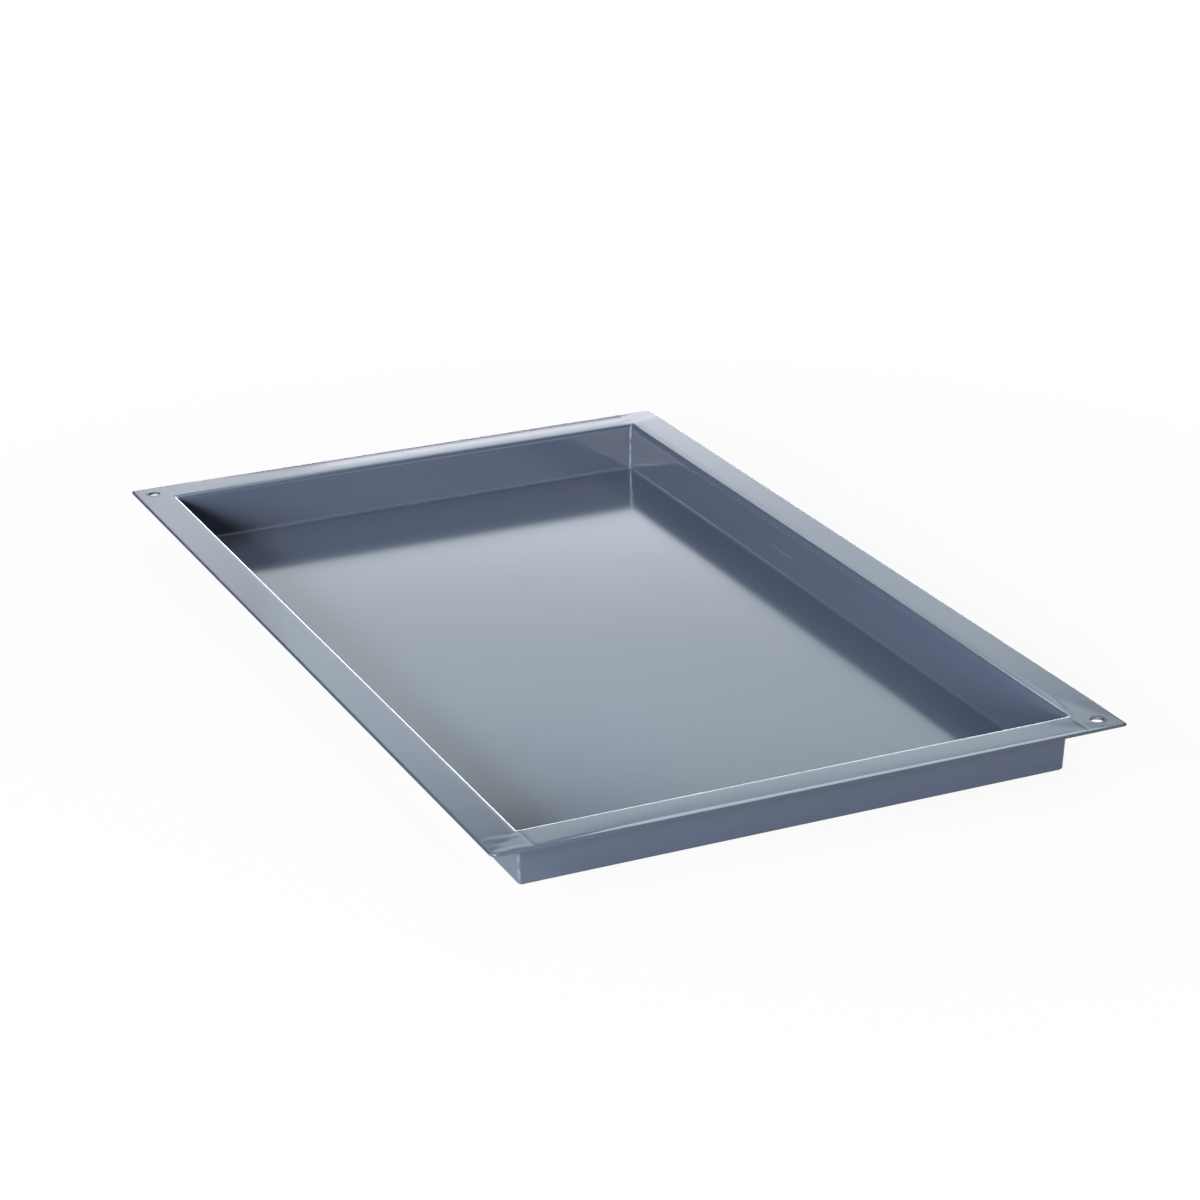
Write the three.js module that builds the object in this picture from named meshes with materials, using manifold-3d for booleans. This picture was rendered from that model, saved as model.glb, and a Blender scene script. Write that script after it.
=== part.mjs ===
// Enamelled gastronorm tray: a shallow tray with a flat rim, folded from one steel blank, welded at
// its corners and fired with a coat of vitreous enamel inside and outside.
// Millimetres, +Z up. The origin is under the middle of the base. X runs across the tray, Y along it,
// and the front is the short side at -Y.

import * as THREE from "three";
import { mergeVertices } from "three/addons/utils/BufferGeometryUtils.js";
import Module from "manifold-3d";

const wasm = await Module();
wasm.setup();

// Overall sizes, measured over the enamel
const trayLength = 530;
const trayWidth = 325;
const trayHeight = 28.5;
const flangeWidth = 20; // from the outer edge to the outside of the wall, in the plane of the rim
const wallDraftDegrees = 2.5;

// Sheet and coat
const steelThickness = 0.8;
const enamelThickness = 0.25;
const coatClearance = 0.05;

// Bends, measured on their hollow side, and corners as seen from above
const baseBendRadius = 0.4;
const flangeBendRadius = 1.6;
const insideCornerRadius = 1;
const outsideCornerRadius = 1.5;
const steelInsideCornerRadius = 0.3;
const plainRimCornerRadius = 3.5;
const holedRimCornerRadius = 1.5;

// Hanging holes, in two rim corners that lie across from each other
const holeDiameter = 6.5;
const holeInset = 10.5;

// Seams: each short side butts against the long sides, and a weld fills the gap between them
const seamWidth = 1.6;
const weldClearance = 0.2;
const cornerReliefLength = 0.6; // how far the seam's slit runs into the base past the bend

// Facets
const bendSteps = 6;
const cornerSteps = 4;
const edgeSteps = 4;
const holeSides = 32;
const cutMargin = 5; // how far a cutter stands out of what it cuts

// A face of the tray lies at a depth: 0 on the outside, totalThickness on the inside.
const totalThickness = steelThickness + 2 * (enamelThickness + coatClearance);
const steelOutsideDepth = enamelThickness + coatClearance;
const steelInsideDepth = steelOutsideDepth + steelThickness;
const innerCoatBackDepth = totalThickness - enamelThickness;

const draft = THREE.MathUtils.degToRad(wallDraftDegrees);

/** Distance in from the outer edge to the wall's face at a depth, at height z. */
function wallInset(z, depth) {
  return flangeWidth + (trayHeight - z) * Math.tan(draft) + depth / Math.cos(draft);
}

// Centres of the bends and of the rounded edge, as (inset, height)
const baseBendOutside = baseBendRadius + totalThickness;
const baseBend = new THREE.Vector2(wallInset(baseBendOutside, baseBendOutside), baseBendOutside);
const flangeBendHeight = trayHeight - totalThickness - flangeBendRadius;
const flangeBend = new THREE.Vector2(wallInset(flangeBendHeight, -flangeBendRadius), flangeBendHeight);
const edgeRadius = totalThickness / 2;
const edgeRound = new THREE.Vector2(edgeRadius, trayHeight - edgeRadius);

const corners = [
  { name: "rear_right", x: 1, y: 1, holed: false },
  { name: "rear_left", x: -1, y: 1, holed: true },
  { name: "front_left", x: -1, y: -1, holed: false },
  { name: "front_right", x: 1, y: -1, holed: true },
];
const holedCorners = corners.filter((corner) => corner.holed);

/** Points on an arc of the section, running anticlockwise unless clockwise is set. */
function arc(centre, radius, start, end, steps, clockwise = false) {
  return new THREE.EllipseCurve(centre.x, centre.y, radius, radius, start, end, clockwise).getPoints(steps);
}

/** One face of the folded sheet in section, from the edge of the base to the start of the flange. */
function foldedFace(depth) {
  return [
    ...arc(baseBend, baseBendOutside - depth, -Math.PI / 2, draft - Math.PI, bendSteps, true),
    ...arc(flangeBend, flangeBendRadius + depth, draft, Math.PI / 2, bendSteps),
  ];
}

/** The angle on the rounded edge at a depth below the top of the rim. */
function edgeAngle(below) {
  return Math.PI - Math.asin((edgeRadius - below) / edgeRadius);
}

/** One level outline of the tray, anticlockwise from above, with its four corners rounded. */
function outline(point, wallCornerRadius) {
  const onFlange = Math.min(point.x / flangeBend.x, 1);
  return corners.flatMap((corner, quarter) => {
    const rimCornerRadius = corner.holed ? holedRimCornerRadius : plainRimCornerRadius;
    const radius = THREE.MathUtils.lerp(rimCornerRadius, wallCornerRadius, onFlange);
    const centre = new THREE.Vector2(
      corner.x * (trayWidth / 2 - point.x - radius),
      corner.y * (trayLength / 2 - point.x - radius),
    );
    const start = (quarter * Math.PI) / 2;
    return arc(centre, radius, start, start + Math.PI / 2, cornerSteps).map(
      (place) => new THREE.Vector3(place.x, place.y, point.y),
    );
  });
}

/**
 * A thin tray between two faces. Each face is a section from the base to the rim with the corner
 * radius of its walls, and the two meet at the edge of the rim.
 */
function shell(inside, outside) {
  const rings = [
    ...inside.section.map((point) => outline(point, inside.cornerRadius)),
    ...outside.section.map((point) => outline(point, outside.cornerRadius)).reverse(),
  ];
  const around = corners.length * (cornerSteps + 1);
  const vertices = rings.flat();
  const triangles = [];
  const next = (j) => (j + 1) % around;
  for (let i = 0; i + 1 < rings.length; i++) {
    for (let j = 0; j < around; j++) {
      const here = i * around + j;
      const beside = i * around + next(j);
      const above = here + around;
      const aboveBeside = beside + around;
      triangles.push(here, above, aboveBeside, here, aboveBeside, beside);
    }
  }
  const insideMiddle = vertices.push(new THREE.Vector3(0, 0, inside.section[0].y)) - 1;
  const outsideMiddle = vertices.push(new THREE.Vector3(0, 0, outside.section[0].y)) - 1;
  const lastRing = (rings.length - 1) * around;
  for (let j = 0; j < around; j++) {
    triangles.push(insideMiddle, j, next(j));
    triangles.push(outsideMiddle, lastRing + next(j), lastRing + j);
  }
  return new THREE.BufferGeometry().setFromPoints(vertices).setIndex(triangles);
}

/** A closed geometry as a solid that can be joined and cut. */
function solidOf(geometry) {
  const bare = geometry.clone();
  bare.deleteAttribute("normal");
  bare.deleteAttribute("uv");
  const merged = mergeVertices(bare);
  return new wasm.Manifold(
    new wasm.Mesh({
      numProp: 3,
      vertProperties: Float32Array.from(merged.attributes.position.array),
      triVerts: Uint32Array.from(merged.index.array),
    }),
  );
}

/** A solid as a geometry that a mesh can show. */
function geometryOf(solid) {
  const mesh = solid.getMesh();
  const geometry = new THREE.BufferGeometry();
  geometry.setAttribute("position", new THREE.BufferAttribute(mesh.vertProperties, 3));
  geometry.setIndex(new THREE.BufferAttribute(mesh.triVerts, 1));
  geometry.computeVertexNormals();
  return geometry;
}

/** An upright cylinder through a holed corner of the rim, between two heights. */
function holePlug(corner, radius, bottom, top) {
  const plug = new THREE.CylinderGeometry(radius, radius, top - bottom, holeSides);
  plug.rotateX(Math.PI / 2);
  plug.translate(
    corner.x * (trayWidth / 2 - holeInset),
    corner.y * (trayLength / 2 - holeInset),
    (top + bottom) / 2,
  );
  return solidOf(plug);
}

/** The solid with a hole of the given radius through each holed corner of its rim. */
function withHoles(solid, radius) {
  return holedCorners.reduce(
    (rest, corner) => rest.subtract(holePlug(corner, radius, 0, trayHeight + cutMargin)),
    solid,
  );
}

/**
 * A slab along the seam of one corner. It leans with the long wall and covers the end of the short
 * side between two distances in from the short edge.
 */
function seamSlab(corner, width, innerInset, outerInset) {
  const slab = new THREE.BoxGeometry(width, innerInset - outerInset, trayHeight + 2 * cutMargin);
  slab.rotateY(corner.x * draft);
  const middle = trayHeight / 2;
  slab.translate(
    corner.x * (trayWidth / 2 - wallInset(middle, steelInsideDepth) - seamWidth / 2),
    corner.y * (trayLength / 2 - (innerInset + outerInset) / 2),
    middle,
  );
  return solidOf(slab);
}

// The steel blank before its corners are slit and its holes are punched
const steelEdge = steelOutsideDepth;
const blank = solidOf(
  shell(
    {
      section: [...foldedFace(steelInsideDepth), new THREE.Vector2(steelEdge, trayHeight - steelOutsideDepth)],
      cornerRadius: steelInsideCornerRadius,
    },
    {
      section: [
        ...foldedFace(steelOutsideDepth),
        new THREE.Vector2(steelEdge, trayHeight - totalThickness + steelOutsideDepth),
      ],
      cornerRadius: outsideCornerRadius - steelOutsideDepth,
    },
  ),
);
const holeRadius = holeDiameter / 2;
const punchedBlank = withHoles(blank, holeRadius + steelOutsideDepth);

// Each seam starts in the base just past the bend, and its two welds meet where the flange begins.
const seamStart = baseBend.x + cornerReliefLength;
const weldMeeting = flangeBend.x;
const weldWidth = seamWidth - 2 * weldClearance;

/** The folded blank, with the four short-side seams slit open. */
function makePanSheet() {
  return corners.reduce(
    (rest, corner) => rest.subtract(seamSlab(corner, seamWidth, seamStart, -cutMargin)),
    punchedBlank,
  );
}

/** The weld up one vertical corner, from the base round the bend of the flange. */
function makeCornerWeld(corner) {
  const start = seamStart - weldClearance;
  const end = weldMeeting + weldClearance / 2;
  return blank.intersect(seamSlab(corner, weldWidth, start, end));
}

/** The weld across the flange at one corner, out to the cut edge. */
function makeRimWeld(corner) {
  return blank.intersect(seamSlab(corner, weldWidth, weldMeeting - weldClearance / 2, -cutMargin));
}

/** The coat on the inside of the tray and the top of the rim. */
function makeInnerEnamel() {
  const rim = arc(edgeRound, edgeRadius, Math.PI / 2, edgeAngle(enamelThickness), edgeSteps);
  const coat = shell(
    { section: [...foldedFace(totalThickness), ...rim], cornerRadius: insideCornerRadius },
    { section: foldedFace(innerCoatBackDepth), cornerRadius: steelInsideCornerRadius },
  );
  return withHoles(solidOf(coat), holeRadius);
}

/** The coat on the outside of the tray, round the cut edge of the rim and through the holes. */
function makeOuterEnamel() {
  const steelTop = trayHeight - steelOutsideDepth;
  const underSteel = trayHeight - totalThickness + enamelThickness;
  const rim = arc(edgeRound, edgeRadius, edgeAngle(steelOutsideDepth), 1.5 * Math.PI, edgeSteps);
  const coat = shell(
    {
      section: [
        ...foldedFace(enamelThickness),
        new THREE.Vector2(enamelThickness, underSteel),
        new THREE.Vector2(enamelThickness, steelTop),
      ],
      cornerRadius: outsideCornerRadius - enamelThickness,
    },
    { section: [...foldedFace(0), ...rim.reverse()], cornerRadius: outsideCornerRadius },
  );
  const lined = holedCorners.reduce(
    (rest, corner) =>
      rest.add(holePlug(corner, holeRadius + enamelThickness, trayHeight - totalThickness, steelTop)),
    solidOf(coat),
  );
  return withHoles(lined, holeRadius);
}

const steel = { color: "#8b8f95", roughness: 0.45, metalness: 1 };
const weldMetal = { color: "#76746f", roughness: 0.6, metalness: 1 };
const enamel = { color: "#4b5468", roughness: 0.2, metalness: 0 };

/** A named mesh of one piece with a material of its own. */
function piece(name, solid, finish) {
  const mesh = new THREE.Mesh(geometryOf(solid), new THREE.MeshStandardMaterial(finish));
  mesh.name = name;
  return mesh;
}

const tray = new THREE.Group();
tray.add(piece("pan_sheet", makePanSheet(), steel));
for (const corner of corners) {
  tray.add(piece(`corner_weld_${corner.name}`, makeCornerWeld(corner), weldMetal));
  tray.add(piece(`rim_weld_${corner.name}`, makeRimWeld(corner), weldMetal));
}
tray.add(piece("inner_enamel", makeInnerEnamel(), enamel));
tray.add(piece("outer_enamel", makeOuterEnamel(), enamel));

export default tray;
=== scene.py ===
"""Looks of an enamelled gastronorm tray: its fired coats, its bare metal, the studio and the camera."""

import logging
import math
from dataclasses import dataclass
from enum import Enum, IntEnum

import bmesh
import bpy
from mathutils import Matrix, Vector


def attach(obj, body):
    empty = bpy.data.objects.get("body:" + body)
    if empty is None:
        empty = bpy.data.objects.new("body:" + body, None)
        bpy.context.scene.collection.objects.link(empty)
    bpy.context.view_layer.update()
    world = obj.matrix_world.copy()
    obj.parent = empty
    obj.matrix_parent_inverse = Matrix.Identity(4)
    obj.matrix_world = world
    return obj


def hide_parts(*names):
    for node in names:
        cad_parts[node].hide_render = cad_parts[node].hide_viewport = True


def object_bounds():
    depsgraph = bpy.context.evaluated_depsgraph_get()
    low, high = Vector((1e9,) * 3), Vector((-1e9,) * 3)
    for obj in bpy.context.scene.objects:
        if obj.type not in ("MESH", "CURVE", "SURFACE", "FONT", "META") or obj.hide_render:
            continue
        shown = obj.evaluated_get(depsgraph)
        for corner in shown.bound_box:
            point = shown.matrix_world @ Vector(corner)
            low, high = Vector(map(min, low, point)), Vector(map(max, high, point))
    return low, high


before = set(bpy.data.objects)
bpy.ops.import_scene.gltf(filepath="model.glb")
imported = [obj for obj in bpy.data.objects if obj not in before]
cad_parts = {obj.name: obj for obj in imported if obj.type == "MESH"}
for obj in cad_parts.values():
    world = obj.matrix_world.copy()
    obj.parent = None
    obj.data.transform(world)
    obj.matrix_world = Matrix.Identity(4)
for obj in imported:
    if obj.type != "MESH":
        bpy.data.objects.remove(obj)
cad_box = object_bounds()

log = logging.getLogger("gastronorm_tray")

MM = 0.001
QUARTER = math.pi / 2
WHITE = "#ffffff"


def linear(hex_colour: str) -> tuple[float, float, float, float]:
    """Turn an sRGB hex colour into linear RGBA.

    Args:
        hex_colour: a colour such as "#5f6879".

    Returns:
        The colour's red, green, blue and alpha as Blender's sockets want them.
    """
    channels = [int(hex_colour[i:i + 2], 16) / 255 for i in (1, 3, 5)]
    light = [c / 12.92 if c <= 0.04045 else ((c + 0.055) / 1.055) ** 2.4 for c in channels]
    return (*light, 1.0)


def add(tree: bpy.types.NodeTree, kind: str, inputs: dict | None = None, output: int | str = 0,
        **settings: object) -> bpy.types.NodeSocket | None:
    """Add a node to a tree with its settings, and fill or link its inputs.

    The Mix node's sockets go by number, because their names repeat: 0 is the factor, 2 and 3 are its
    plain values, 4 and 5 its vectors, and 6 and 7 its colours.

    Args:
        tree: the tree that takes the node.
        kind: the node's type name.
        inputs: plain values or other nodes' outputs, by socket name or number.
        output: which output to hand back.
        settings: the node's own properties.

    Returns:
        The asked output, or None for a node that has none.
    """
    node = tree.nodes.new(kind)
    for name, value in settings.items():
        setattr(node, name, value)
    for key, value in (inputs or {}).items():
        if isinstance(value, bpy.types.NodeSocket):
            tree.links.new(value, node.inputs[key])
        else:
            node.inputs[key].default_value = value
    return node.outputs[output] if node.outputs else None


def blank_material(name: str) -> tuple[bpy.types.Material, bpy.types.NodeTree]:
    """Make a material with an empty node tree.

    Args:
        name: the material's name.

    Returns:
        The material and its tree.
    """
    material = bpy.data.materials.new(name)
    material.use_nodes = True
    material.node_tree.nodes.clear()
    return material, material.node_tree


class Coat(Enum):
    """The two coats of enamel, by the CAD node that each stands for."""

    INSIDE = "inner_enamel"
    OUTSIDE = "outer_enamel"


class Side(IntEnum):
    """The tray's sides, anticlockwise from the rear, which is also the order of the outline's columns."""

    REAR = 0
    LEFT = 1
    FRONT = 2
    RIGHT = 3


@dataclass(frozen=True)
class VitreousEnamel:
    """Vitreous enamel, a grey-blue glass fired onto steel: smooth and half glossy.

    The eye gets a deep even colour with faint clouds of pigment, a soft mirror that grows towards
    grazing angles, a trace of orange peel, a darker, duller line along the rim's edge, which is painted
    shade that deepens down the edge's underside and partly glass running thinner there, and a patchy
    paler line along the welded corners, which is a painted highlight.
    """

    name: str = "vitreous enamel, grey-blue"
    body: str = "#4f586b"
    cloud: str = "#4c5567"
    # Painted shade: the dark colour of the rim's edge, which stands for the shade on its underside and partly
    # for thinner glass.
    thin_glass_and_shade: str = "#343a47"
    # Painted highlight: the pale colour laid over the weld lumps of the corners.
    pale: str = "#c0c6d0"
    ior: float = 1.52
    roughness: float = 0.13
    roughness_spread: float = 0.03
    thin_roughness: float = 0.6
    cloud_size: float = 70 * MM
    peel_size: float = 2.4 * MM
    peel_height: float = 0.002 * MM
    # Noise that splits the painted weld highlight into patches, and its strongest share.
    break_size: float = 4 * MM
    break_range: tuple[float, float] = (0.3, 0.75)
    break_strength: float = 0.8

    def material(self) -> bpy.types.Material:
        """Build the enamel's shader.

        Returns:
            The finished material.
        """
        material, tree = blank_material(self.name)
        place = add(tree, "ShaderNodeTexCoord", output="Object")
        clouds, breaks, peel = (
            add(tree, "ShaderNodeTexNoise", {"Vector": place, "Scale": 1 / size, "Detail": detail})
            for size, detail in ((self.cloud_size, 3.0), (self.break_size, 2.0), (self.peel_size, 1.0))
        )
        pigment = add(tree, "ShaderNodeMix", {0: clouds, 6: linear(self.body), 7: linear(self.cloud)}, 2,
                      data_type="RGBA")
        # Painted shade: the rim's edge is coloured darker by its 'edge' share, most on its underside.
        edge = add(tree, "ShaderNodeAttribute", output="Fac", attribute_name="edge")
        colour = add(tree, "ShaderNodeMix", {0: edge, 6: pigment, 7: linear(self.thin_glass_and_shade)}, 2, data_type="RGBA")
        fewest, most = self.break_range
        # Painted highlight: a patchy pale line over the weld lumps, split into patches by noise.
        patches = add(tree, "ShaderNodeMapRange", {
            "Value": breaks, "From Min": fewest, "From Max": most, "To Max": self.break_strength,
        })
        painted_weld_highlight = add(tree, "ShaderNodeMath", {
            0: add(tree, "ShaderNodeAttribute", output="Fac", attribute_name="lumps"), 1: patches,
        }, operation="MULTIPLY")
        colour = add(tree, "ShaderNodeMix", {0: painted_weld_highlight, 6: colour, 7: linear(self.pale)}, 2, data_type="RGBA")
        roughness = add(tree, "ShaderNodeMapRange", {
            "Value": clouds,
            "To Min": self.roughness - self.roughness_spread / 2,
            "To Max": self.roughness + self.roughness_spread / 2,
        })
        roughness = add(tree, "ShaderNodeMix", {0: edge, 2: roughness, 3: self.thin_roughness})
        normal = add(tree, "ShaderNodeBump", {"Height": peel, "Strength": 1.0, "Distance": self.peel_height})
        shader = add(tree, "ShaderNodeBsdfPrincipled", {
            "Base Color": colour, "Roughness": roughness, "IOR": self.ior, "Normal": normal,
        })
        add(tree, "ShaderNodeOutputMaterial", {"Surface": shader})
        return material


@dataclass(frozen=True)
class BareSteel:
    """Low-carbon steel under the glass, rolled or welded: a dull metal with fine streaks along the tray."""

    name: str
    bright: str
    dull: str
    roughness: float
    streak: Vector
    roughness_spread: float = 0.16
    grain_height: float = 0.01 * MM
    grain_strength: float = 0.4

    def material(self) -> bpy.types.Material:
        """Build the metal's shader.

        Returns:
            The finished material.
        """
        material, tree = blank_material(self.name)
        place = add(tree, "ShaderNodeTexCoord", output="Object")
        stretched = add(tree, "ShaderNodeVectorMath", {0: place, 1: self.streak}, operation="DIVIDE")
        grain = add(tree, "ShaderNodeTexNoise", {"Vector": stretched, "Scale": 1.0, "Detail": 4.0})
        colour = add(tree, "ShaderNodeMix", {0: grain, 6: linear(self.bright), 7: linear(self.dull)}, 2,
                     data_type="RGBA")
        roughness = add(tree, "ShaderNodeMapRange", {
            "Value": grain,
            "To Min": self.roughness - self.roughness_spread / 2,
            "To Max": self.roughness + self.roughness_spread / 2,
        })
        normal = add(tree, "ShaderNodeBump", {
            "Height": grain, "Strength": self.grain_strength, "Distance": self.grain_height,
        })
        shader = add(tree, "ShaderNodeBsdfPrincipled", {
            "Base Color": colour, "Metallic": 1.0, "Roughness": roughness, "Normal": normal,
        })
        add(tree, "ShaderNodeOutputMaterial", {"Surface": shader})
        return material


ROLLED_STEEL = BareSteel("cold-rolled steel sheet", "#a3a6aa", "#8c9095", 0.4, Vector((0.4, 30.0, 0.4)) * MM)
GROUND_WELD = BareSteel("ground weld metal", "#8f8c87", "#6f6c69", 0.5, Vector((1.5, 1.5, 1.5)) * MM)


@dataclass
class SectionPoint:
    """A point of a coat's section.

    The inset runs in from the outer edge of the rim. The lifts are how far firing has pulled the rim off
    its plane there, on each side and on the soft part of the right one. The other fields are shares from
    0 to 1 of the glass's slow waves, of the weld's lumps, which also carry a painted highlight, of the
    dark edge colour, which is painted shade along the rim's edge and partly thinner glass, and of the
    rim's marks.
    """

    inset: float
    height: float
    waves: float = 0.0
    bead: float = 0.0
    edge: float = 0.0
    marks: float = 0.0
    rear_lift: float = 0.0
    front_lift: float = 0.0
    left_lift: float = 0.0
    right_lift: float = 0.0
    soft_lift: float = 0.0


@dataclass(frozen=True)
class TrayForm:
    """Sizes of the finished tray in metres, over its enamel. A depth is 0 on the outside."""

    width: float
    length: float
    height: float
    flange: float = 20 * MM
    draft: float = math.radians(2.5)
    steel: float = 0.8 * MM
    enamel: float = 0.25 * MM
    clearance: float = 0.05 * MM
    base_bend: float = 0.4 * MM
    pool: float = 1.7 * MM
    flange_bend: float = 1.6 * MM
    inside_corner: float = 1.0 * MM
    outside_corner: float = 1.5 * MM
    plain_rim_corner: float = 3.5 * MM
    holed_rim_corner: float = 1.5 * MM
    hole_diameter: float = 6.5 * MM
    hole_inset: float = 10.5 * MM
    hole_lip: float = 0.12 * MM
    # Share of the weld lumps on the outside, which also sets that of their painted highlight.
    outer_lumps: float = 0.35
    wall_waves: float = 0.3
    flange_waves: float = 0.6
    # Share of the dark edge colour at the top of the rim's rounded edge, and how fast it grows downwards:
    # painted shade on the edge's underside, partly thinner glass.
    thin_glass_and_shade_at_top: float = 0.3
    edge_shade_downwards: float = 2.5
    rear_crown: float = 0.22 * MM
    rear_lean: float = 0.3 * MM
    front_crown: float = 0.2 * MM
    front_fall: float = 0.36 * MM
    front_roll: float = 3.2 * MM
    front_shoulder: float = 1.2 * MM
    front_shoulder_fall: float = 0.04 * MM
    left_twist: float = 0.45 * MM
    right_lean: float = 0.65 * MM
    right_shoulder: float = 4.5 * MM
    right_shoulder_fall: float = 0.32 * MM
    bend_steps: int = 12
    nose_steps: int = 6
    wall_steps: int = 40
    base_step: float = 9 * MM
    foot_step: float = 1.5 * MM
    base_rise: float = 0.08 * MM
    flange_step: float = 0.75 * MM

    @property
    def thickness(self) -> float:
        """Thickness of the wall, glass and steel together."""
        return self.steel + 2 * (self.enamel + self.clearance)

    @property
    def flange_bend_centre(self) -> Vector:
        """Centre of the bend between wall and flange, as inset and height."""
        height = self.height - self.thickness - self.flange_bend
        return Vector((self.wall_inset(height, -self.flange_bend), height))

    @property
    def nose_centre(self) -> Vector:
        """Centre of the rounded edge of the rim, as inset and height."""
        return Vector((self.thickness / 2, self.height - self.thickness / 2))

    @property
    def holes(self) -> list[Vector]:
        """Places of the two hanging holes, seen from above."""
        across = self.width / 2 - self.hole_inset
        along = self.length / 2 - self.hole_inset
        return [Vector((-across, along)), Vector((across, -along))]

    def wall_inset(self, height: float, depth: float) -> float:
        """Inset of a wall's face at a height and a depth."""
        return self.flange + (self.height - height) * math.tan(self.draft) + depth / math.cos(self.draft)

    def nose_angle(self, below: float) -> float:
        """Angle on the rounded edge at a distance below the top of the rim."""
        radius = self.thickness / 2
        return math.pi - math.asin((radius - below) / radius)

    @staticmethod
    def arc(centre: Vector, radius: float, start: float, end: float, steps: int) -> list[Vector]:
        """Points along an arc of the section, both ends included."""
        angles = [start + (end - start) * i / steps for i in range(steps + 1)]
        return [centre + radius * Vector((math.cos(a), math.sin(a))) for a in angles]

    @staticmethod
    def share(value: float) -> float:
        """Keep a value within 0 and 1."""
        return min(max(value, 0.0), 1.0)

    def face(self, depth: float, fine: bool) -> list[SectionPoint]:
        """One face of the folded sheet, from the middle of the base to the start of the flange.

        The glass of the inside face pools in the bend of the base and rounds it out. The outside of the base
        rises a little off the ground, so that the tray stands on its foot.

        Args:
            depth: how far the face lies inside the outer face.
            fine: whether the face shows, and so is made with small steps, waves and weld lumps.

        Returns:
            The face's section.
        """
        steps = self.bend_steps if fine else self.bend_steps // 2
        flange_bend = self.flange_bend_centre
        radius = self.base_bend + self.thickness - depth
        if fine and depth > self.steel:
            radius = self.pool
        base_bend = Vector((self.wall_inset(depth + radius, depth + radius), depth + radius))
        foot = self.arc(base_bend, radius, -QUARTER, self.draft - math.pi, steps)
        head = self.arc(flange_bend, self.flange_bend + depth, self.draft, QUARTER, steps)
        middle = self.width / 2
        rings = round((middle - base_bend.x) / self.base_step) if fine else 1
        shown = 1.0 if fine else 0.0
        lumps = shown if depth > self.steel else shown * self.outer_lumps
        ground = foot[0].y if depth else self.base_rise
        points = [
            SectionPoint(middle + (base_bend.x - middle) * i / rings, ground, shown) for i in range(rings)
        ]
        if fine:
            points.append(SectionPoint(base_bend.x + self.foot_step, foot[0].y))
        points += [
            SectionPoint(p.x, p.y, 0.0, lumps * (1.0 if depth else i / steps)) for i, p in enumerate(foot)
        ]
        rows = self.wall_steps if fine else 1
        points += [
            SectionPoint(*foot[-1].lerp(head[0], i / rows), self.wall_waves * shown, lumps)
            for i in range(1, rows)
        ]
        points += [SectionPoint(p.x, p.y, 0.0, lumps * (1 - i / steps)) for i, p in enumerate(head)]
        return self.warped(points) if fine else points

    def flat(self, height: float) -> list[SectionPoint]:
        """A flat face of the flange at a height, from its bend out to its rounded edge."""
        start = self.flange_bend_centre.x
        end = self.nose_centre.x
        steps = round((start - end) / self.flange_step)
        points = []
        for i in range(1, steps):
            waves = self.flange_waves * math.sin(math.pi * i / steps) ** 2
            points.append(SectionPoint(start + (end - start) * i / steps, height, waves, marks=1.0))
        return self.warped(points)

    def nose(self, start: float, end: float) -> list[SectionPoint]:
        """Part of the rounded edge of the rim, between two angles, with a darker colour that grows downwards:
        painted shade on its underside, partly thinner glass.
        """
        places = self.arc(self.nose_centre, self.thickness / 2, start, end, self.nose_steps)
        points = []
        for p in places:
            # Painted shade: the lower on the rounded edge, the darker its colour.
            thin_glass_and_shade = self.thin_glass_and_shade_at_top + self.edge_shade_downwards * (self.height - p.y) / self.thickness
            points.append(SectionPoint(p.x, p.y, edge=self.share(thin_glass_and_shade)))
        return self.warped(points)

    def warped(self, points: list[SectionPoint]) -> list[SectionPoint]:
        """Say how folding and firing draw the flange off its plane.

        It is crowned and leans out at the rear, rolled down at the front edge and its shoulder, twisted on
        the left, and on the right it leans in and has a soft shoulder.

        Args:
            points: part of a shown face, of which only the upper half of the tray moves.

        Returns:
            The same points with their lifts.
        """
        bend, edge = self.flange_bend_centre.x, self.nose_centre.x
        for point in points:
            if point.height < self.height / 2:
                continue
            inwards = self.share((point.inset - edge) / (bend - edge))
            crown = self.rear_crown * (1 - (2 * inwards - 1) ** 2)
            point.rear_lift = crown + self.rear_lean * (inwards - 0.5)
            point.left_lift = self.left_twist * (1 - inwards)
            point.right_lift = self.right_lean * (0.5 - inwards)
            off_top = point.inset - self.front_roll
            if off_top < 0:
                point.front_lift = self.front_crown - self.front_fall * (off_top / self.front_roll) ** 2
            else:
                point.front_lift = self.front_crown * (1 - min(off_top / (bend - self.front_roll), 1.0) ** 2)
            past_bend = point.inset - bend
            front = self.share(past_bend / self.front_shoulder + 1)
            point.front_lift -= self.front_shoulder_fall * front ** 2
            right = self.share(past_bend / self.right_shoulder + 1)
            point.soft_lift = -self.right_shoulder_fall * right ** 2
        return points


@dataclass(frozen=True)
class OutlineColumn:
    """A column of the sweep: where it stands on the tray's rounded outline.

    It lies between two corners, given by the signs of their places, at a share of the way, and looks
    outwards along a direction. On a corner it takes the weld's lumps, which also carry a painted
    highlight, on each side a share of the rim's lift there, and all along a share of the dark edge
    colour, which is painted shade on the rim's edge and partly thinner glass.
    """

    here: Vector
    there: Vector
    holed_here: float
    holed_there: float
    facing: Vector
    share: float
    seam: float
    rear: float
    front: float
    left: float
    right: float
    soft: float
    drawn: float


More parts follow.
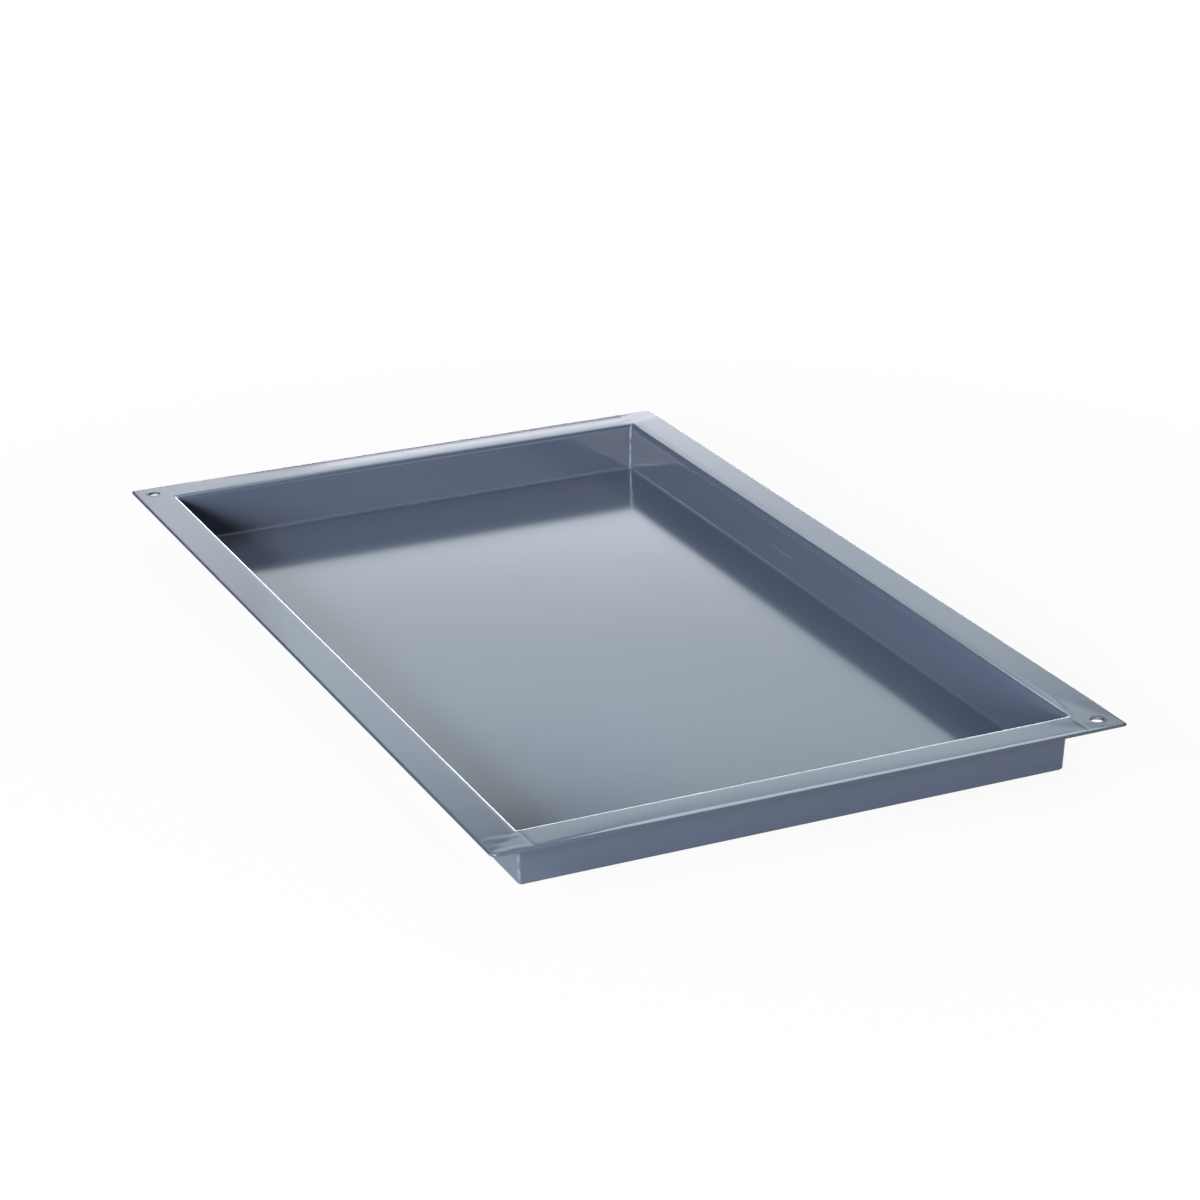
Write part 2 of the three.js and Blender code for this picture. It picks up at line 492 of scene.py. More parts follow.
class RimSweep:
    """The Geometry Nodes tree that carries a section round the tray and finishes the coat."""

    INPUTS = {
        "Section": "NodeSocketGeometry",
        "Outline": "NodeSocketObject",
        "Hole cutter": "NodeSocketObject",
        "Half size": "NodeSocketVector",
        "Wave length": "NodeSocketFloat",
        "Wave height": "NodeSocketFloat",
        "Lump length": "NodeSocketFloat",
        "Lump height": "NodeSocketFloat",
        "Seam place": "NodeSocketFloat",
        "Seam width": "NodeSocketFloat",
        "Seam depth": "NodeSocketFloat",
        "Ripple stretch": "NodeSocketVector",
        "Ripple height": "NodeSocketFloat",
        "Rim reach": "NodeSocketVector",
        "Hole place": "NodeSocketVector",
        "Hole radius": "NodeSocketFloat",
        "Lip width": "NodeSocketFloat",
        "Lip height": "NodeSocketFloat",
        "Crease angle": "NodeSocketFloat",
        "Seed": "NodeSocketFloat",
        "Material": "NodeSocketMaterial",
    }
    SECTION = dict.fromkeys((
        "corner", "corner_change", "waves", "bead", "edge", "marks",
        "rear_lift", "front_lift", "left_lift", "right_lift", "soft_lift",
    ), "FLOAT")
    OUTLINE = {"here": "FLOAT_VECTOR", "there": "FLOAT_VECTOR", "holed_here": "FLOAT", "holed_there": "FLOAT",
               "facing": "FLOAT_VECTOR", "share": "FLOAT", "seam": "FLOAT", "rear": "FLOAT", "front": "FLOAT",
               "left": "FLOAT", "right": "FLOAT", "soft": "FLOAT", "drawn": "FLOAT"}
    # Points closer than this are one: where the grid meets itself, and along the cuts of the holes.
    WELD_DISTANCE = 0.001 * MM
    SLIVER = 0.003 * MM
    # Faces that a cut leaves with more corners are split.
    MOST_CORNERS = 4

    def __init__(self) -> None:
        """Build the tree."""
        self.tree = bpy.data.node_groups.new("sweep round the rim", "GeometryNodeTree")
        for name, kind in self.INPUTS.items():
            self.tree.interface.new_socket(name=name, in_out="INPUT", socket_type=kind)
        self.tree.interface.new_socket(name="Coat", in_out="OUTPUT", socket_type="NodeSocketGeometry")
        self.entry = self.tree.nodes.new("NodeGroupInput").outputs
        swept = self._swept()
        add(self.tree, "NodeGroupOutput", {0: self._finished(self._relieved(swept))})

    def _math(self, operation: str, *values: object) -> bpy.types.NodeSocket:
        """Work on numbers, plain or fields, with one node."""
        return add(self.tree, "ShaderNodeMath", dict(enumerate(values)), operation=operation)

    def _vector(self, operation: str, *values: object) -> bpy.types.NodeSocket:
        """Work on vectors, plain or fields, with one node."""
        return add(self.tree, "ShaderNodeVectorMath", dict(enumerate(values)), operation=operation)

    def _scaled(self, vector: bpy.types.NodeSocket, scale: bpy.types.NodeSocket) -> bpy.types.NodeSocket:
        """Scale a vector by a number."""
        return add(self.tree, "ShaderNodeVectorMath", {0: vector, "Scale": scale}, operation="SCALE")

    def _part(self, vector: bpy.types.NodeSocket, axis: str) -> bpy.types.NodeSocket:
        """Take one coordinate of a vector."""
        return add(self.tree, "ShaderNodeSeparateXYZ", {0: vector}, axis)

    def _named(self, name: str, kind: str = "FLOAT") -> bpy.types.NodeSocket:
        """Read an attribute."""
        return add(self.tree, "GeometryNodeInputNamedAttribute", {"Name": name}, data_type=kind)

    def _swept(self) -> bpy.types.NodeSocket:
        """Lay a grid over the tray, one row for a section point and one column for an outline column.

        Returns:
            The closed shell, with its shares of waves, lumps, the edge's painted shade and marks as
            attributes.
        """
        tree = self.tree
        section = self.entry["Section"]
        outline = add(tree, "GeometryNodeObjectInfo", {"Object": self.entry["Outline"]}, "Geometry")
        rows = add(tree, "GeometryNodeAttributeDomainSize", {0: section}, "Point Count")
        columns = add(tree, "GeometryNodeAttributeDomainSize", {0: outline}, "Point Count")
        closed = self._math("ADD", columns, 1.0)
        grid = add(tree, "GeometryNodeMeshGrid", {"Vertices X": rows, "Vertices Y": closed})
        index = add(tree, "GeometryNodeInputIndex")
        row = self._math("FLOOR", self._math("DIVIDE", index, closed))
        column = self._math("MODULO", self._math("MODULO", index, closed), columns)
        at = {}
        for source, number, names in ((section, row, self.SECTION), (outline, column, self.OUTLINE)):
            for name, kind in names.items():
                at[name] = add(tree, "GeometryNodeSampleIndex", {
                    "Geometry": source, "Value": self._named(name, kind), "Index": number,
                }, data_type=kind)
        point = add(tree, "GeometryNodeSampleIndex", {
            "Geometry": section, "Value": add(tree, "GeometryNodeInputPosition"), "Index": row,
        }, data_type="FLOAT_VECTOR")
        inset, height = self._part(point, "X"), self._part(point, "Z")
        for side in ("rear", "front", "left", "right", "soft"):
            height = self._math("MULTIPLY_ADD", at[f"{side}_lift"], at[side], height)
        ends = []
        for end in ("here", "there"):
            radius = self._math("MULTIPLY_ADD", at[f"holed_{end}"], at["corner_change"], at["corner"])
            reach = self._math("ADD", inset, radius)
            centre = self._vector("SUBTRACT", self.entry["Half size"], reach)
            ends.append(self._vector("MULTIPLY_ADD", at[end], centre, self._scaled(at["facing"], radius)))
        level = add(tree, "ShaderNodeMix", {0: at["share"], 4: ends[0], 5: ends[1]}, 1, data_type="VECTOR")
        lifted = self._vector("ADD", level, add(tree, "ShaderNodeCombineXYZ", {"Z": height}))
        # Weld lumps on the corners: they lift the surface and also mask the painted highlight.
        lumps = self._math("MULTIPLY", at["bead"], at["seam"])
        # The painted shade on the rim's edge, with its share along each side.
        edge = self._math("MULTIPLY", at["edge"], at["drawn"])
        coat = add(tree, "GeometryNodeSetPosition", {"Geometry": grid, "Position": lifted})
        for name, value in (("waves", at["waves"]), ("lumps", lumps), ("edge", edge), ("marks", at["marks"])):
            coat = add(tree, "GeometryNodeStoreNamedAttribute", {
                "Geometry": coat, "Name": name, "Value": value,
            }, data_type="FLOAT", domain="POINT")
        return add(tree, "GeometryNodeMergeByDistance", {"Geometry": coat, "Distance": self.WELD_DISTANCE})

    def _relieved(self, coat: bpy.types.NodeSocket) -> bpy.types.NodeSocket:
        """Lift the shown face by the slow waves of the fired sheet, the welds' lumps and the rim's marks.

        Args:
            coat: the plain shell.

        Returns:
            The shell with its relief.
        """
        tree, entry = self.tree, self.entry
        lift = 0.0
        for share, length, height, lowest in (
            ("waves", "Wave length", "Wave height", -1.0),
            ("lumps", "Lump length", "Lump height", 0.0),
        ):
            noise = add(tree, "ShaderNodeTexNoise", {
                "Vector": add(tree, "GeometryNodeInputPosition"), "W": entry["Seed"],
                "Scale": self._math("DIVIDE", 1.0, entry[length]), "Detail": 1.0,
            }, noise_dimensions="4D")
            swing = add(tree, "ShaderNodeMapRange", {"Value": noise, "To Min": lowest})
            tall = self._math("MULTIPLY", swing, entry[height])
            lift = self._math("MULTIPLY_ADD", self._named(share), tall, lift)
        lift = self._math("MULTIPLY_ADD", self._named("marks"), self._rim_marks(), lift)
        offset = self._scaled(add(tree, "GeometryNodeInputNormal"), lift)
        return add(tree, "GeometryNodeSetPosition", {"Geometry": coat, "Offset": offset})

    def _rim_marks(self) -> bpy.types.NodeSocket:
        """Height of what the making leaves on the rim: weld seams, dressing ripples and lips round the holes.

        Returns:
            The height as a field over the rim.
        """
        tree, entry = self.tree, self.entry
        place = add(tree, "GeometryNodeInputPosition")
        x, y = self._part(place, "X"), self._part(place, "Y")
        reach = self._part(entry["Rim reach"], "Y")
        short_side = self._math("GREATER_THAN", self._math("ABSOLUTE", y), reach)
        past_seam = self._math("SUBTRACT", self._math("ABSOLUTE", x), entry["Seam place"])
        groove = add(tree, "ShaderNodeMapRange", {
            "Value": self._math("ABSOLUTE", past_seam), "From Max": entry["Seam width"],
            "To Min": entry["Seam depth"], "To Max": 0.0,
        }, interpolation_type="SMOOTHSTEP")
        noise = add(tree, "ShaderNodeTexNoise", {
            "Vector": self._vector("DIVIDE", place, entry["Ripple stretch"]),
            "W": entry["Seed"], "Scale": 1.0, "Detail": 0.0,
        }, noise_dimensions="4D")
        swing = add(tree, "ShaderNodeMapRange", {"Value": noise, "To Min": -1.0})
        # The ripples set in past the seam, over the width of a hole's lip.
        outside = add(tree, "ShaderNodeMapRange", {"Value": past_seam, "From Max": entry["Lip width"]},
                      interpolation_type="SMOOTHSTEP")
        # The corners without a hole are where x and y have the same sign.
        plain = self._math("GREATER_THAN", self._math("MULTIPLY", x, y), 0.0)
        tall = self._math("MULTIPLY", plain, entry["Ripple height"])
        ripple = self._math("MULTIPLY", self._math("MULTIPLY", swing, tall), outside)
        corner_marks = self._math("MULTIPLY", short_side, self._math("SUBTRACT", ripple, groove))
        # A half turn brings the front hole onto the rear one, so one distance serves both.
        turned = self._scaled(place, self._math("SIGN", y))
        flat = self._vector("MULTIPLY", turned, (1.0, 1.0, 0.0))
        from_hole = add(tree, "ShaderNodeVectorMath", {0: flat, 1: entry["Hole place"]}, "Value",
                        operation="DISTANCE")
        lip = add(tree, "ShaderNodeMapRange", {
            "Value": self._math("SUBTRACT", from_hole, entry["Hole radius"]),
            "From Max": entry["Lip width"], "To Min": entry["Lip height"], "To Max": 0.0,
        }, interpolation_type="SMOOTHSTEP")
        return self._math("ADD", corner_marks, lip)

    def _finished(self, coat: bpy.types.NodeSocket) -> bpy.types.NodeSocket:
        """Cut the hanging holes, clean the cuts, smooth all but the creases and give the coat its material.

        Args:
            coat: the shell with its relief.

        Returns:
            The finished coat.
        """
        tree = self.tree
        cutter = add(tree, "GeometryNodeObjectInfo", {"Object": self.entry["Hole cutter"]}, "Geometry")
        coat = add(tree, "GeometryNodeMeshBoolean", {0: coat, 1: cutter},
                   operation="DIFFERENCE", solver="EXACT")
        coat = add(tree, "GeometryNodeMergeByDistance", {"Geometry": coat, "Distance": self.SLIVER})
        many_sided = add(tree, "FunctionNodeCompare", {
            2: add(tree, "GeometryNodeInputMeshFaceNeighbors", output="Vertex Count"), 3: self.MOST_CORNERS,
        }, data_type="INT", operation="GREATER_THAN")
        coat = add(tree, "GeometryNodeTriangulate", {"Mesh": coat, "Selection": many_sided})
        crease = add(tree, "FunctionNodeCompare", {
            0: add(tree, "GeometryNodeInputMeshEdgeAngle"), 1: self.entry["Crease angle"],
        }, data_type="FLOAT", operation="GREATER_THAN")
        for where, smooth, domain in ((True, True, "FACE"), (crease, False, "EDGE")):
            coat = add(tree, "GeometryNodeSetShadeSmooth", {
                "Geometry": coat, "Selection": where, "Shade Smooth": smooth,
            }, domain=domain)
        coat = add(tree, "GeometryNodeRealizeInstances", {"Geometry": coat})
        return add(tree, "GeometryNodeSetMaterial", {"Geometry": coat, "Material": self.entry["Material"]})

    def set_inputs(self, modifier: bpy.types.Modifier, values: dict[str, object]) -> None:
        """Set a modifier's inputs by their sockets' identifiers.

        Args:
            modifier: a modifier that uses this tree.
            values: the inputs' values by name.
        """
        for item in self.tree.interface.items_tree:
            if item.name in values:
                modifier[item.identifier] = values[item.name]


@dataclass
class EnamelCoat:
    """One fired coat of the tray: a closed thin shell of glass."""

    coat: Coat
    form: TrayForm
    finish: bpy.types.Material
    corner_steps: int = 8
    corner_reach: float = 25 * MM
    corner_step: float = 0.8 * MM
    side_step: float = 12 * MM
    step_growth: float = 1.3
    hole_sides: int = 64
    lip_steps: int = 5
    cutter_reach: float = 3 * MM
    rear_fades: tuple[float, float] = (15 * MM, 80 * MM)
    front_fades: tuple[float, float] = (100 * MM, 22 * MM)
    right_fades: tuple[float, float] = (30 * MM, 12 * MM)
    soft_fades: tuple[float, float] = (12 * MM, 380 * MM)
    left_droop: float = 0.5
    left_reaches: tuple[float, float] = (35 * MM, 110 * MM)
    # Share of the painted shade on the rim's edge along the front, faded in from its left end.
    front_thin_glass_and_shade: float = 0.6
    thin_glass_and_shade_fade: float = 1 * MM
    wave_length: float = 90 * MM
    wave_height: float = 0.06 * MM
    lump_length: float = 2.2 * MM
    lump_height: float = 0.35 * MM
    seam_inset: float = 20.4 * MM
    seam_width: float = 1.5 * MM
    seam_depth: float = 0.05 * MM
    ripple_stretch: Vector = Vector((16.0, 3.4, 30.0)) * MM
    ripple_height: float = 0.04 * MM
    lip_width: float = 1.4 * MM
    lip_height: float = 0.05 * MM
    crease_angle: float = math.radians(38)
    seed: float = 4.0

    def section(self) -> list[SectionPoint]:
        """The coat's section, from the middle of its upper face round the rim to that of its lower face.

        Returns:
            The points in order.
        """
        form = self.form
        split = form.nose_angle(form.enamel + form.clearance)
        if self.coat is Coat.INSIDE:
            shown = form.face(form.thickness, True) + form.flat(form.height) + form.nose(QUARTER, split)
            return shown + form.face(form.thickness - form.enamel, False)[::-1]
        under = form.height - form.thickness
        back = form.face(form.enamel, False) + [
            SectionPoint(form.enamel, under + form.enamel),
            SectionPoint(form.enamel, form.height - form.enamel - form.clearance),
        ]
        shown = form.face(0.0, True) + form.flat(under) + form.nose(3 * QUARTER, split)
        return back + shown[::-1]

    def section_object(self) -> bpy.types.Object:
        """Make the section an object of bare points with the corner radii that each point's ring takes.

        Returns:
            The object, which only lasts while the coat is made.
        """
        form = self.form
        points = self.section()
        wall_corner = form.inside_corner if self.coat is Coat.INSIDE else form.outside_corner
        bend = form.flange_bend_centre.x
        attributes = {name: [] for name in RimSweep.SECTION}
        for point in points:
            on_flange = min(point.inset / bend, 1.0)
            room = form.width / 2 - point.inset
            plain, holed = (
                min(rim + (wall_corner - rim) * on_flange, room)
                for rim in (form.plain_rim_corner, form.holed_rim_corner)
            )
            radii = {"corner": plain, "corner_change": holed - plain}
            for name, values in attributes.items():
                values.append(radii[name] if name in radii else getattr(point, name))
        places = [(p.inset, 0.0, p.height) for p in points]
        return points_object(f"{self.coat.value}_section", places, attributes, RimSweep.SECTION)

    def outline_object(self) -> bpy.types.Object:
        """Make the outline an object of bare points, anticlockwise from the rear end of the right side.

        Returns:
            The object, which only lasts while the coat is made.
        """
        signs = [Vector((1, 1, 0)), Vector((-1, 1, 0)), Vector((-1, -1, 0)), Vector((1, -1, 0))]
        holed = [0.0, 1.0, 0.0, 1.0]
        columns = []
        for side in Side:
            following = (side + 1) % len(Side)
            length = self.form.width if side in (Side.REAR, Side.FRONT) else self.form.length
            turns = [(i / self.corner_steps, 0.0) for i in range(self.corner_steps + 1)]
            straight = [(1.0, share) for share in self.side_shares(length)]
            for turn, share in turns + straight:
                angle = (side + turn) * QUARTER
                place = share * length
                rear, front, right, soft = (
                    self.faded(place, length, *fades) if side is lifted else 0.0
                    for lifted, fades in (
                        (Side.REAR, self.rear_fades), (Side.FRONT, self.front_fades),
                        (Side.RIGHT, self.right_fades), (Side.RIGHT, self.soft_fades),
                    )
                )
                # Painted shade on the rim's edge: full on most columns, less along the front.
                drawn = 1.0
                if side is Side.FRONT and turn:
                    drawn = self.front_thin_glass_and_shade * self.faded(place, length, self.front_fades[0], self.thin_glass_and_shade_fade)
                columns.append(OutlineColumn(
                    signs[side], signs[following], holed[side], holed[following],
                    Vector((math.cos(angle), math.sin(angle), 0)), share,
                    math.sin(turn * math.pi) if share == 0.0 else 0.0,
                    rear, front, self.twisted(side, place, length), right, soft, drawn,
                ))
        attributes = {name: [getattr(c, name) for c in columns] for name in RimSweep.OUTLINE}
        places = [c.facing for c in columns]
        return points_object(f"{self.coat.value}_outline", places, attributes, RimSweep.OUTLINE)

    @staticmethod
    def faded(place: float, length: float, first: float, last: float) -> float:
        """Share of a side's lift at a place along it, which fades out over a length at each end."""
        near = min(place / first, 1.0)
        far = min((length - place) / last, 1.0)
        return near * near * (3 - 2 * near) * far * far * (3 - 2 * far)

    def twisted(self, side: Side, place: float, length: float) -> float:
        """Share of the left rim's twist: down at its rear corner, up at its front one, faded out round them.

        Args:
            side: which side.
            place: the distance along the side.
            length: the side's length.

        Returns:
            The share.
        """
        if side is Side.LEFT:
            return (1 + self.left_droop) * place / length - self.left_droop
        rear_reach, front_reach = self.left_reaches
        away = {Side.REAR: (length - place) / rear_reach, Side.FRONT: place / front_reach}
        near = max(1 - away.get(side, 1.0), 0.0)
        return near * near * (3 - 2 * near) * (-self.left_droop if side is Side.REAR else 1.0)

    def side_shares(self, length: float) -> list[float]:
        """Places of the columns along a side, close together near its corners.

        Args:
            length: the side's length.

        Returns:
            The places as shares of the length, without the ends.
        """
        distance, step, half = 0.0, self.corner_step, []
        while distance + step < length / 2 - step / 2:
            distance += step
            half.append(distance / length)
            if distance > self.corner_reach:
                step = min(step * self.step_growth, self.side_step)
        return half + [0.5] + [1 - share for share in reversed(half)]

    def hole_cutter(self) -> bpy.types.Object:
        """Turn a cutter for each hanging hole, flared so that the glass rounds over at both faces.

        Returns:
            The cutters as one object, which only lasts while the coat is made.
        """
        form = self.form
        radius = form.hole_diameter / 2
        lip = form.hole_lip
        top = form.height
        under = top - form.thickness
        upper = [Vector((radius + lip - lip * math.sin(a), top - lip + lip * math.cos(a)))
                 for a in (QUARTER * i / self.lip_steps for i in range(self.lip_steps + 1))]
        lower = [Vector((p.x, top + under - p.y)) for p in upper[::-1]]
        wide, high, low = radius + lip, top + self.cutter_reach, under - self.cutter_reach
        profile = [
            Vector((0, high)), Vector((wide, high)), *upper, *lower, Vector((wide, low)), Vector((0, low)),
        ]
        angles = [2 * math.pi * i / self.hole_sides for i in range(self.hole_sides)]
        mesh = bmesh.new()
        for hole in form.holes:
            start = mesh.verts.new((hole.x, hole.y, profile[0].y))
            end = mesh.verts.new((hole.x, hole.y, profile[-1].y))
            rings = []
            for p in profile[1:-1]:
                rings.append([mesh.verts.new((hole.x + p.x * math.cos(a), hole.y + p.x * math.sin(a), p.y))
                              for a in angles])
            for i in range(self.hole_sides):
                j = (i + 1) % self.hole_sides
                mesh.faces.new((start, rings[0][i], rings[0][j]))
                for above, below in zip(rings, rings[1:]):
                    mesh.faces.new((above[i], below[i], below[j], above[j]))
                mesh.faces.new((rings[-1][j], rings[-1][i], end))
        data = bpy.data.meshes.new(f"{self.coat.value}_hole_cutter")
        mesh.to_mesh(data)
        mesh.free()
        cutter = bpy.data.objects.new(data.name, data)
        bpy.context.scene.collection.objects.link(cutter)
        return cutter

    def build(self, sweep: RimSweep) -> bpy.types.Object:
        """Sweep the section round the tray and keep the result as a plain mesh.

        Args:
            sweep: the tree that does it.

        Returns:
            The coat, which stands for its CAD node.
        """
        section, outline, cutter = self.section_object(), self.outline_object(), self.hole_cutter()
        modifier = section.modifiers.new("sweep", "NODES")
        modifier.node_group = sweep.tree
        sweep.set_inputs(modifier, {
            "Outline": outline,
            "Hole cutter": cutter,
            "Half size": (self.form.width / 2, self.form.length / 2, 0.0),
            "Wave length": self.wave_length,
            "Wave height": self.wave_height,
            "Lump length": self.lump_length,
            "Lump height": self.lump_height,
            "Seam place": self.form.width / 2 - self.seam_inset,
            "Seam width": self.seam_width,
            "Seam depth": self.seam_depth,
            "Ripple stretch": self.ripple_stretch,
            "Ripple height": self.ripple_height,
            "Rim reach": (0.0, self.form.length / 2 - self.form.flange, 0.0),
            "Hole place": (*self.form.holes[0], 0.0),
            "Hole radius": self.form.hole_diameter / 2,
            "Lip width": self.lip_width,
            "Lip height": self.lip_height,
            "Crease angle": self.crease_angle,
            "Seed": self.seed,
            "Material": self.finish,
        })
        graph = bpy.context.evaluated_depsgraph_get()
        mesh = bpy.data.meshes.new_from_object(section.evaluated_get(graph))
        section.modifiers.remove(modifier)
        for helper in (section, outline, cutter):
            bpy.data.objects.remove(helper)
        name = f"{self.coat.value}_coat"
        mesh.name = name
        piece = bpy.data.objects.new(name, mesh)
        bpy.context.scene.collection.objects.link(piece)
        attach(piece, "root")
        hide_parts(self.coat.value)
        return piece


def points_object(name: str, places: list, attributes: dict[str, list],
                  kinds: dict[str, str]) -> bpy.types.Object:
    """Make an object of bare points with attributes.

    Args:
        name: the object's name.
        places: the points.
        attributes: the values of each attribute, in the order of the points.
        kinds: each attribute's data type.

    Returns:
        The object, in the scene.
    """
    data = bpy.data.meshes.new(name)
    data.from_pydata([tuple(p) for p in places], [], [])
    for key, values in attributes.items():
        attribute = data.attributes.new(key, kinds[key], "POINT")
        if kinds[key] == "FLOAT_VECTOR":
            attribute.data.foreach_set("vector", [c for v in values for c in v])
        else:
            attribute.data.foreach_set("value", values)
    thing = bpy.data.objects.new(name, data)
    bpy.context.scene.collection.objects.link(thing)
    return thing


@dataclass
class MetalUnderGlass:
    """The folded blank and its welds, which the coats cover."""

    sheet: str = "pan_sheet"
    weld_mark: str = "_weld_"

    def dress(self) -> None:
        """Give the CAD nodes of the metal their finishes."""
        rolled, ground = ROLLED_STEEL.material(), GROUND_WELD.material()
        for name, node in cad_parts.items():
            finish = rolled if name == self.sheet else ground if self.weld_mark in name else None
            if finish is None:
                continue
            node.data.materials.clear()
            node.data.materials.append(finish)
            log.info("%s: %s", name, finish.name)


@dataclass(frozen=True)
class SoftBox:
    """A large soft lamp that looks at the tray.

    Its azimuth runs from the rear of the tray towards its right. Its glow is the brightness of its face,
    where 1 is white.
    """

    name: str
    azimuth: float
    elevation: float
    distance: float
    width: float
    height: float
    glow: float
    tint: str = WHITE

    def light(self) -> bpy.types.Object:
        """Hang the lamp.

        Returns:
            The lamp.
        """
        azimuth, elevation = math.radians(self.azimuth), math.radians(self.elevation)
        level = self.distance * math.cos(elevation)
        rise = self.distance * math.sin(elevation)
        place = Vector((level * math.sin(azimuth), level * math.cos(azimuth), rise))
        data = bpy.data.lights.new(self.name, "AREA")
        data.shape = "RECTANGLE"
        data.size, data.size_y = self.width, self.height
        data.energy = math.pi * self.width * self.height * self.glow
        data.color = linear(self.tint)[:3]
        lamp = bpy.data.objects.new(self.name, data)
        bpy.context.scene.collection.objects.link(lamp)
        lamp.matrix_world = Matrix.Translation(place) @ place.to_track_quat("Z", "Y").to_matrix().to_4x4()
        return lamp


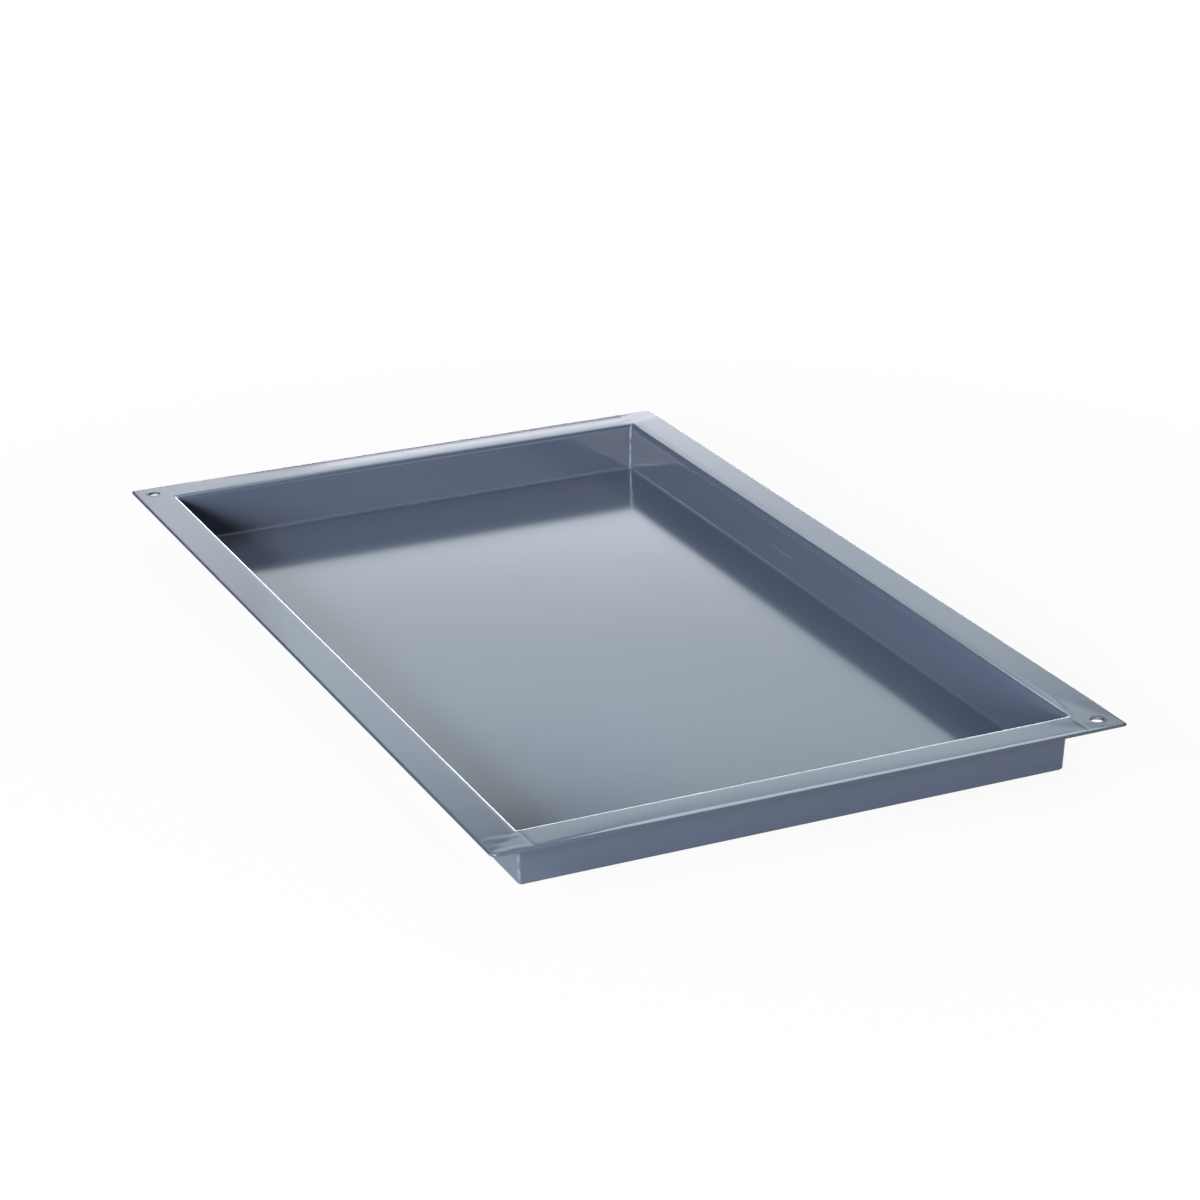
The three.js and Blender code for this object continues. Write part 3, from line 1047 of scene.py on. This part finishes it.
@dataclass
class Studio:
    """A white floor, a white background and soft lamps in a dark room."""

    floor_size: float = 12.0
    floor_colour: str = "#dededd"
    floor_white: float = 0.93
    shadow_reach: float = 0.3
    shadow_end: float = 0.6
    fill: float = 0.005
    # Each lamp's name, azimuth, elevation, distance, width, height, glow and tint.
    lamps: tuple[SoftBox, ...] = (
        SoftBox("left softbox", 255, 30, 2.2, 0.5, 0.385, 50.0),
        SoftBox("front-left softbox", 226.5, 20, 2.2, 0.56, 0.385, 41.0),
        SoftBox("front softbox", 210, 10, 2.2, 0.57, 0.385, 44.0),
        SoftBox("right reflector", 150, 22, 1.6, 0.66, 0.66, 1.8),
        SoftBox("overhead softbox", 0, 80, 1.6, 0.9, 0.9, 2.5),
        SoftBox("horizon strip", 28, 4.5, 2.6, 1.6, 0.36, 11.5, "#eef7ff"),
        SoftBox("rear strip", 23.5, 15.9, 2.5, 1.18, 0.2, 2.35, "#f6f5ff"),
        SoftBox("rear strip's core", 26.5, 15.9, 2.49, 0.905, 0.2, 1.55, "#f6f5ff"),
        SoftBox("rear middle", 23.5, 19.4, 2.5, 1.18, 0.096, 2.8, "#eef8fd"),
        SoftBox("rear softbox", 23.5, 21.75, 2.5, 1.16, 0.109, 1.95, "#eef8fd"),
        SoftBox("rear glow", 27.5, 25.1, 2.5, 1.09, 0.184, 2.2, "#ebf9ff"),
        SoftBox("rear fade", 36, 34, 2.5, 0.8, 0.36, 4.6, "#ebf9ff"),
        SoftBox("top softbox", 33, 46, 2.5, 1.2, 0.66, 4.4, "#ebf9ff"),
    )

    def build(self) -> None:
        """Set the surround, lay the floor and hang the lamps."""
        scene = bpy.context.scene
        scene.view_settings.view_transform = "Standard"
        self._surround(scene)
        self._floor()
        for lamp in self.lamps:
            lamp.light()
            log.info("lamp: %s", lamp.name)

    def _surround(self, scene: bpy.types.Scene) -> None:
        """White to the eye, and a plain fill on the tray.

        Args:
            scene: the scene that gets the world.
        """
        world = bpy.data.worlds.new("white studio")
        world.use_nodes = True
        scene.world = world
        tree = world.node_tree
        tree.nodes.clear()
        fill = add(tree, "ShaderNodeBackground", {"Color": linear(WHITE), "Strength": self.fill})
        white = add(tree, "ShaderNodeBackground", {"Color": linear(WHITE), "Strength": 1.0})
        surround = add(tree, "ShaderNodeMixShader", {
            0: add(tree, "ShaderNodeLightPath", output="Is Camera Ray"), 1: fill, 2: white,
        })
        add(tree, "ShaderNodeOutputWorld", {"Surface": surround})

    def _floor(self) -> bpy.types.Object:
        """Lay a pale matt floor that keeps a soft shadow near the tray and is white to the eye farther off.

        Returns:
            The floor.
        """
        half = self.floor_size / 2
        data = bpy.data.meshes.new("floor")
        corners = [(-half, -half, 0), (half, -half, 0), (half, half, 0), (-half, half, 0)]
        data.from_pydata(corners, [], [(0, 1, 2, 3)])
        material, tree = blank_material("matt white paper")
        seen = add(tree, "ShaderNodeLightPath", output="Is Camera Ray")
        place = add(tree, "ShaderNodeTexCoord", output="Object")
        distance = add(tree, "ShaderNodeVectorMath", {0: place}, "Value", operation="LENGTH")
        far = add(tree, "ShaderNodeMapRange", {
            "Value": distance, "From Min": self.shadow_reach, "From Max": self.shadow_end,
            "To Min": self.floor_white,
        }, interpolation_type="SMOOTHSTEP")
        share = add(tree, "ShaderNodeMath", {0: seen, 1: far}, operation="MULTIPLY")
        matt = add(tree, "ShaderNodeBsdfDiffuse", {"Color": linear(self.floor_colour)})
        white = add(tree, "ShaderNodeEmission", {"Color": linear(WHITE), "Strength": 1.0})
        add(tree, "ShaderNodeOutputMaterial", {
            "Surface": add(tree, "ShaderNodeMixShader", {0: share, 1: matt, 2: white}),
        })
        data.materials.append(material)
        floor = bpy.data.objects.new("floor", data)
        bpy.context.scene.collection.objects.link(floor)
        return floor


@dataclass(frozen=True)
class PhotoCamera:
    """A pinhole camera fitted to the edges of the rim, in pixels of a square picture."""

    picture: float = 1200.0
    focal: float = 3346.119
    yaw: float = math.radians(24.15139)
    pitch: float = math.radians(21.44389)
    roll: float = math.radians(-0.88236)
    offset: Vector = Vector((-8.92, -1.93748, 1739.51814)) * MM
    sensor: float = 36.0

    def build(self, rim_height: float) -> bpy.types.Object:
        """Set up the camera.

        Args:
            rim_height: height of the plane that the camera was fitted to.

        Returns:
            The camera.
        """
        turn = Matrix.Rotation(self.yaw, 3, "Z")
        sine, cosine = math.sin(self.pitch), math.cos(self.pitch)
        tilt = Matrix(((1, 0, 0), (0, -sine, -cosine), (0, cosine, -sine)))
        to_camera = Matrix.Rotation(self.roll, 3, "Z") @ tilt @ turn
        place = -(to_camera.transposed() @ self.offset) + Vector((0, 0, rim_height))
        right, down, forward = to_camera
        axes = Matrix((right, -down, -forward)).transposed()
        data = bpy.data.cameras.new("photo camera")
        data.sensor_fit = "HORIZONTAL"
        data.sensor_width = self.sensor
        data.lens = self.sensor * self.focal / self.picture
        camera = bpy.data.objects.new(data.name, data)
        camera.matrix_world = Matrix.Translation(place) @ axes.to_4x4()
        bpy.context.scene.collection.objects.link(camera)
        bpy.context.scene.camera = camera
        return camera


def main() -> None:
    """Build the camera, the tray's pieces and the studio to the CAD model's sizes, and log each coat's face
    count.
    """
    logging.basicConfig(level=logging.INFO, format="%(name)s %(message)s")
    low, high = cad_box
    width, length, height = high - low
    PhotoCamera().build(height)
    form = TrayForm(width, length, height)
    enamel = VitreousEnamel().material()
    sweep = RimSweep()
    for coat in Coat:
        piece = EnamelCoat(coat, form, enamel).build(sweep)
        log.info("%s: %d faces", piece.name, len(piece.data.polygons))
    MetalUnderGlass().dress()
    Studio().build()


if __name__ == "__main__":
    main()
